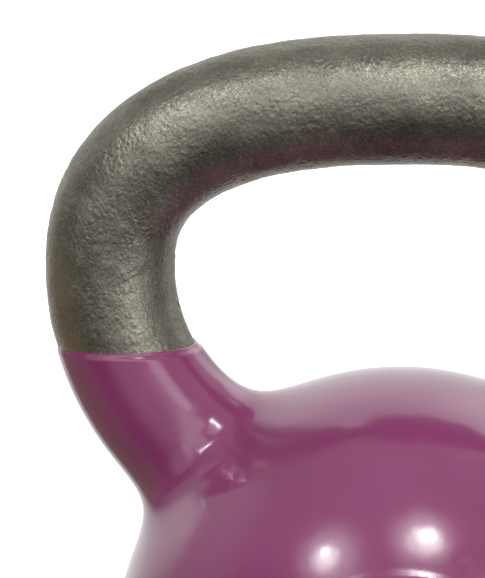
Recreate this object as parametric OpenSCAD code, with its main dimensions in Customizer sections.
// Kettlebell: a one-piece iron casting with a dipped vinyl jacket on the bell and horns,
// and an enamelled handle. Millimetres, +Z up, origin at the centre of the flat base.

/* [Bell] */
// Diameter of the bell over the vinyl
bell_d = 145.5; // [140:0.5:152]
// Diameter of the flat that the bell stands on
base_d = 86.5; // [70:0.5:96]
// Radius of the edge between the bell and its flat base, over the vinyl
base_edge = 5; // [4:0.5:8]
// Size of the fillet where a horn grows out of the bell
root_blend = 12; // [8:1:16]

/* [Handle] */
// Thickness of the grip over the enamel
grip_d = 32.8; // [28:0.1:36]
// Distance between the centrelines of the handle's two sides at the widest
handle_span = 143.6; // [136:0.2:150]
// Height of the handle's widest level above the base
handle_level = 155.2; // [150:0.1:160]
// Rise of the centreline from the widest level to the top of the arch
handle_rise = 43.4; // [38:0.1:46]
// Drop of the centreline from the widest level to where the horns would meet in the bell
horn_drop = 64; // [60:0.5:70]
// Squareness of the arch: 2 is an ellipse, and more is squarer
arch_power = 2.48; // [2.2:0.02:2.8]
// Squareness of the path of the horns
horn_power = 1.92; // [1.9:0.02:2.2]

/* [Coatings] */
// Thickness of the vinyl on the bell
vinyl_t = 2.5; // [2:0.1:3.5]
// Thickness of a horn over the vinyl at its root
horn_d = 35.6; // [35:0.1:38]
// Height of the dip line, where the vinyl ends
dip_line = 137.8; // [135:0.1:142]
// Thickness of the enamel on the handle
enamel_t = 0.3; // [0.2:0.05:0.5]

/* [Mesh] */
// Points round a section, in fours
round_steps = 44; // [36:4:48]
// Sections along the handle
handle_steps = 28; // [20:2:32]
// Sections from a dip line down to the belt of the bell
side_steps = 18; // [12:1:20]

/* [Hidden] */
iron_grey = [0.33, 0.32, 0.31];
vinyl_purple = [0.47, 0.17, 0.36];
enamel_black = [0.16, 0.155, 0.15];
bell_r = bell_d / 2;
base_r = base_d / 2;
// The bell's centre stands where the rounded edge runs smoothly into the sphere and the flat.
bell_z = base_edge + sqrt(pow(bell_r - base_edge, 2) - pow(base_r, 2));
casting_r = grip_d / 2 - enamel_t;
horn_swell_start = 88;   // angle from the top of the loop where the vinyl starts to thicken
horn_swell_end = 128;    // and where the horn has its full root thickness
sink_start = 125;        // angle where the sections' middles start to move down into the bell
sink_depth = 28;         // how far they have moved at the bottom of the loop
// The belt is the level circle round the bell where the horns' sections end.
belt_z = handle_level - horn_drop - sink_depth;
belt_steps = 8;          // rings from the belt to the base's rounded edge
edge_steps = 4;          // rings round that edge
dip_search = [80, 140];  // angles from the top of the loop that the dip line lies between
farthest = 120;          // no surface is further than this from a section's middle
search_steps = 18;       // halvings that find the surface along a ray, or a height on the skin
half_round = round_steps / 2;
// Extra angle that evens out the points round the belt
belt_spread = 16;

// A skin is [bell radius, handle radius, horn root radius].
casting_skin = [bell_r - vinyl_t, casting_r, casting_r];
vinyl_skin = [bell_r, grip_d / 2, horn_d / 2];
enamel_skin = [bell_r, grip_d / 2, grip_d / 2];

// Smooth step from 0 to 1, and the lesser of two distances, blended over k.
function ease(x) = let (c = min(1, max(0, x))) c * c * (3 - 2 * c);
function soft_min(a, b, k) = min(a, b) - pow(max(k - abs(a - b), 0), 2) / (4 * k);

// The loop's centreline at t degrees from the top of the arch, as [x, z]: a squarish
// arch above the widest level, and an ellipse-like path down the horns into the bell.
function loop_radius(t) = let (
    drop = cos(t) < 0,
    n = drop ? horn_power : arch_power,
    tall = drop ? horn_drop : handle_rise
) pow(pow(abs(sin(t)) / (handle_span / 2), n) + pow(abs(cos(t)) / tall, n), -1 / n);
function loop_point(t) = loop_radius(t) * [sin(t), cos(t)] + [0, handle_level];
function loop_normal(t) = let (
    along = loop_point(t + 0.05) - loop_point(t - 0.05)
) [-along[1], along[0]] / norm(along);

function sink(t) = sink_depth * ease((abs(t) - sink_start) / (180 - sink_start));
function swell(t) = ease((abs(t) - horn_swell_start) / (horn_swell_end - horn_swell_start));

// Distance from a skin at q mm along a ray of the section at t: negative is inside.
function outside(q, ray, middle, normal, depth, tube_r, skin) = let (
    along = q * ray[0],
    y = q * ray[1],
    x = middle[0] + normal[0] * along,
    z = middle[1] + normal[1] * along,
    to_tube = norm([along + depth, y]) - tube_r,
    to_bell = norm([x, y, z - bell_z]) - skin[0]
) soft_min(to_tube, to_bell, root_blend);
function reach(near, far, steps, ray, middle, normal, depth, tube_r, skin) = let (
    half = (near + far) / 2
) steps == 0 ? half
    : outside(half, ray, middle, normal, depth, tube_r, skin) < 0
        ? reach(half, far, steps - 1, ray, middle, normal, depth, tube_r, skin)
        : reach(near, half, steps - 1, ray, middle, normal, depth, tube_r, skin);

// The point of a skin at t degrees round the loop and a degrees round the section.
function skin_point(t, a, skin) = let (
    normal = loop_normal(t),
    depth = sink(t),
    middle = loop_point(t) + normal * depth,
    ray = [cos(a), sin(a)],
    tube_r = skin[1] + (skin[2] - skin[1]) * swell(t),
    q = reach(0, farthest, search_steps, ray, middle, normal, depth, tube_r, skin)
) [middle[0] + normal[0] * q * ray[0], q * ray[1], middle[1] + normal[1] * q * ray[0]];

// The angle round the loop, on the +X side, where a skin comes down to a height.
function angle_at(height, a, skin, low, high, steps = search_steps) = let (
    half = (low + high) / 2
) steps == 0 ? half
    : skin_point(half, a, skin)[2] > height
        ? angle_at(height, a, skin, half, high, steps - 1)
        : angle_at(height, a, skin, low, half, steps - 1);

// Angles round a section. The first half_round - 1 of them face away from the window, and
// run down to the belt. The others run to the dome's middle line, where x is 0.
section_angles = [for (j = [1:round_steps]) let (
        a = -90 + 180 * j / half_round
    ) j < half_round ? a + belt_spread * sin(2 * a) : a];
function runs_to_belt(j) = j < half_round - 1;
function dip_angles(skin) = [for (a = section_angles)
    angle_at(dip_line, a, skin, dip_search[0], dip_search[1])];

// Rows of points over the handle from dip line to dip line, and down the +X side.
function handle_rows(skin) = let (dips = dip_angles(skin)) [for (i = [0:handle_steps])
    [for (j = [0:round_steps - 1])
        skin_point(dips[j] * (2 * i / handle_steps - 1), section_angles[j], skin)]];
function side_rows(skin) = let (
    dips = dip_angles(skin),
    ends = [for (j = [0:round_steps - 1])
        runs_to_belt(j) ? angle_at(belt_z, section_angles[j], skin, dips[j], 180) : 180]
) [for (i = [0:side_steps]) [for (j = [0:round_steps - 1])
    skin_point(dips[j] + (ends[j] - dips[j]) * i / side_steps, section_angles[j], skin)]];
function mirrored(rows) = [for (i = [len(rows) - 1:-1:0]) [for (p = rows[i]) [-p[0], p[1], p[2]]]];
function part_of(list, first, last) = [for (i = [first:last]) list[i]];
function flat(lists) = [for (list = lists) each list];

// Level rings below the belt: down the sphere, then round the edge to the flat base.
function base_rings(skin, side) = let (
    right = concat(
        -90,
        [for (p = part_of(side[side_steps], 0, half_round - 2)) atan2(p[1], p[0])],
        90
    ),
    around = concat(right, [for (m = [half_round - 1:-1:1]) 180 - right[m]]),
    inset = bell_r - skin[0],
    edge_r = base_edge - inset,
    belt_a = acos((bell_z - belt_z) / skin[0]),
    edge_a = atan2(base_r, bell_z - base_edge),
    profile = concat(
        [for (i = [1:belt_steps]) let (a = belt_a + (edge_a - belt_a) * i / belt_steps)
            [skin[0] * sin(a), bell_z - skin[0] * cos(a)]],
        [for (i = [1:edge_steps]) let (a = edge_a * (1 - i / edge_steps))
            [base_r + edge_r * sin(a), base_edge - edge_r * cos(a)]]
    )
) [for (ring = profile) [for (a = around) [ring[0] * cos(a), ring[0] * sin(a), ring[1]]]];

// A skin's points: the -X side from its belt up to the dip line, the given rows of the
// handle, the +X side down to its belt, then the rings down to the base. The last row
// leaves out the points of the dome's middle line, because the first row has them.
function skin_points(skin, handle) = let (side = side_rows(skin)) flat(concat(
    mirrored(side),
    handle,
    part_of(side, 0, side_steps - 1),
    [part_of(side[side_steps], 0, half_round - 2)],
    base_rings(skin, side)
));

// Numbers of those points: point j of row k, and point m of ring b, where ring 0 is the belt.
function row_spot(k, j, last) = let (i = j % round_steps)
    k == last && !runs_to_belt(i) ? i : k * round_steps + i;
function ring_spot(b, m, last) = let (i = m % round_steps)
    b > 0 ? last * round_steps + half_round - 1 + (b - 1) * round_steps + i
    : i > 0 && i < half_round ? last * round_steps + i - 1
    : round_steps - 1 - i;
function point_count(last) = ring_spot(belt_steps + edge_steps, round_steps - 1, last) + 1;

// Two triangles across the shorter diagonal of a four-sided patch of points.
function quad(points, a, b, c, d, out) = let (
    faces = norm(points[a] - points[c]) < norm(points[b] - points[d])
        ? [[a, b, c], [a, c, d]]
        : [[a, b, d], [b, c, d]]
) out ? faces : [for (f = faces) [f[0], f[2], f[1]]];

// Faces of a skin whose rows are numbered to last. A gap is left after row number gap.
function skin_faces(points, last, gap, first, out) = concat(
    [for (k = [0:last - 1], j = [0:round_steps - 1]) if (k != gap) each quad(points,
        first + row_spot(k, j, last), first + row_spot(k, j + 1, last),
        first + row_spot(k + 1, j + 1, last), first + row_spot(k + 1, j, last), out)],
    [for (b = [0:belt_steps + edge_steps - 1], m = [0:round_steps - 1]) each quad(points,
        first + ring_spot(b, m, last), first + ring_spot(b, m + 1, last),
        first + ring_spot(b + 1, m + 1, last), first + ring_spot(b + 1, m, last), out)],
    [let (base = [for (m = [0:round_steps - 1])
        first + ring_spot(belt_steps + edge_steps, m, last)])
        out ? base : [for (m = [round_steps - 1:-1:0]) base[m]]]
);

// Faces from a ring of points numbered from p to a ring numbered from q.
function rim_faces(points, p, q, out) = [for (j = [0:round_steps - 1]) let (
        next = (j + 1) % round_steps
    ) each quad(points, p + j, p + next, q + next, q + j, out)];

// The one-piece grey iron casting: ball, two horns and handle in one pour.
module iron_casting() {
    handle = part_of(handle_rows(casting_skin), 1, handle_steps - 1);
    points = skin_points(casting_skin, handle);
    last = 2 * side_steps + handle_steps;
    color(iron_grey) polyhedron(points, skin_faces(points, last, -1, 0, true), convexity = 6);
}

// The dipped vinyl skin over the bell, its base and the horns up to the dip line.
module vinyl_jacket() {
    points = concat(skin_points(vinyl_skin, []), skin_points(casting_skin, []));
    last = 2 * side_steps + 1;
    inner = point_count(last);
    left_rim = side_steps * round_steps;
    right_rim = left_rim + round_steps;
    faces = concat(
        skin_faces(points, last, side_steps, 0, true),
        skin_faces(points, last, side_steps, inner, false),
        rim_faces(points, left_rim, inner + left_rim, true),
        rim_faces(points, right_rim, inner + right_rim, false)
    );
    color(vinyl_purple) polyhedron(points, faces, convexity = 6);
}

// The textured black enamel on the handle, from dip line to dip line.
module handle_enamel() {
    points = flat(concat(handle_rows(enamel_skin), handle_rows(casting_skin)));
    inner = (handle_steps + 1) * round_steps;
    end = inner - round_steps;
    faces = concat(
        [for (first = [0, inner], k = [0:handle_steps - 1]) let (row = first + k * round_steps)
            each rim_faces(points, row, row + round_steps, first == 0)],
        rim_faces(points, inner, 0, true),
        rim_faces(points, end, inner + end, true)
    );
    color(enamel_black) polyhedron(points, faces, convexity = 6);
}

iron_casting();
vinyl_jacket();
handle_enamel();
